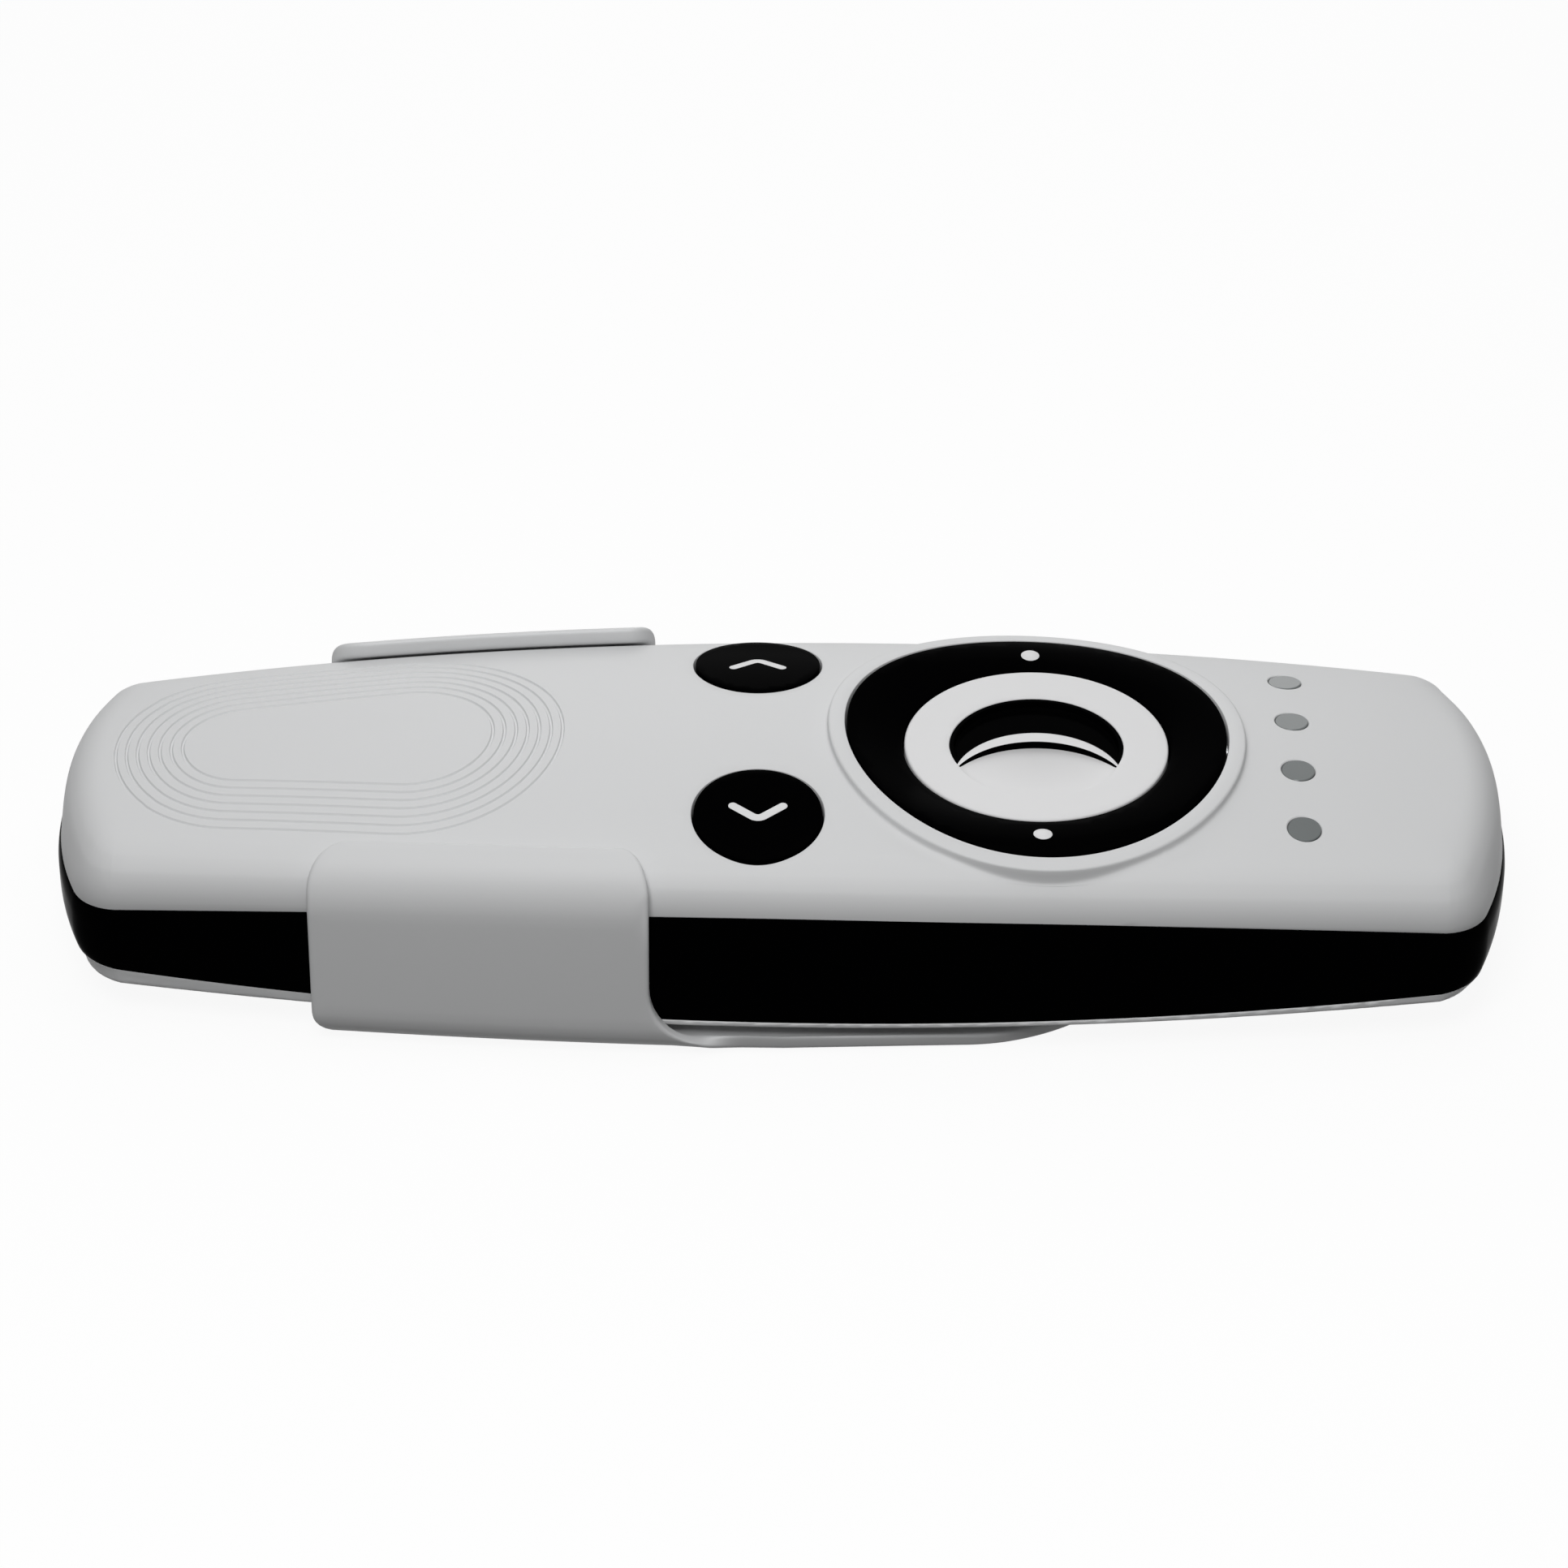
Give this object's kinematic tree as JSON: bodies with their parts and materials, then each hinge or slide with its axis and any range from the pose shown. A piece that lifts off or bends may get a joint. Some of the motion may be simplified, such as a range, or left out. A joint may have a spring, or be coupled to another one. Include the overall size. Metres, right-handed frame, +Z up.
{
  "type": "smart remote control",
  "caption": "Bowed hand-held remote control with a rocking dial ring, a push key, arrow keys and light windows, lying in a flat holder whose side wings curl over its shoulders.",
  "frame": {"origin": "under the middle of the remote, on the holder's flat underside", "axes": "+X along the remote towards the dial end, +Y across it towards the up arrow, +Z up out of the keys"},
  "size_m": [0.1724, 0.0564, 0.0295],
  "materials": {
    "light_grey_plastic": "fine satin texture",
    "white_plastic": "satin",
    "gloss_black": "high gloss",
    "window_grey": "smoked, glossy",
    "inner_plastic": "moulded",
    "silicone": "matte",
    "board_green": "solder mask",
    "chip_black": "moulded",
    "can_metal": "plated",
    "lamp_white": "moulded",
    "cell_jacket": "satin"
  },
  "bodies": {
    "holder": {"holder": "light_grey_plastic"},
    "remote": {"top_shell": "light_grey_plastic", "side_band": "gloss_black", "bottom_shell": "light_grey_plastic", "battery_cells": "cell_jacket", "contact_plates": "can_metal", "contact_springs": "can_metal", "circuit_board": "board_green", "board_screws": "can_metal", "case_screws": "can_metal", "controller_chip": "chip_black", "radio_module": "can_metal", "led_chips": "lamp_white", "led_windows": "window_grey", "keypad_mat": "silicone", "up_dome": "silicone", "down_dome": "silicone", "centre_dome": "silicone", "rocker_domes": "silicone", "dial_carrier": "inner_plastic", "carrier_screws": "can_metal"},
    "battery_door": {"battery_door": "light_grey_plastic"},
    "up_button": {"up_button": "gloss_black", "up_arrow": "white_plastic"},
    "down_button": {"down_button": "gloss_black", "down_arrow": "white_plastic"},
    "rocker": {"rocker_ring": "gloss_black", "rocker_pins": "can_metal", "ring_markers": "white_plastic"},
    "centre_key": {"centre_key": "white_plastic", "thumb_inlay": "gloss_black"}
  },
  "joints": [
    {"name": "remote_slide", "type": "slide", "parent": "holder", "child": "remote", "axis": [1, 0, 0], "range_m": [0, 0.12]},
    {"name": "door_slide", "type": "slide", "parent": "remote", "child": "battery_door", "axis": [-1, 0, 0], "range_m": [0, 0.06]},
    {"name": "up_press", "type": "slide", "parent": "remote", "child": "up_button", "axis": [0, -0.1785, -0.9839], "range_m": [0, 0.0008], "stiffness_N_per_m": 1500, "springref_m": -0.0002, "deforming": ["up_dome"]},
    {"name": "down_press", "type": "slide", "parent": "remote", "child": "down_button", "axis": [0, 0.1785, -0.9839], "range_m": [0, 0.0008], "stiffness_N_per_m": 1500, "springref_m": -0.0002, "deforming": ["down_dome"]},
    {"name": "rocker_tilt", "type": "hinge", "parent": "remote", "child": "rocker", "pos_m": [0.0298, 0, 0.02499], "axis": [1, 0, 0], "range_deg": [-2, 2], "stiffness_Nm_per_rad": 0.8, "deforming": ["rocker_domes"]},
    {"name": "centre_press", "type": "slide", "parent": "remote", "child": "centre_key", "axis": [0, 0, -1], "range_m": [0, 0.0008], "stiffness_N_per_m": 1500, "springref_m": -0.0002, "deforming": ["centre_dome"]}
  ]
}
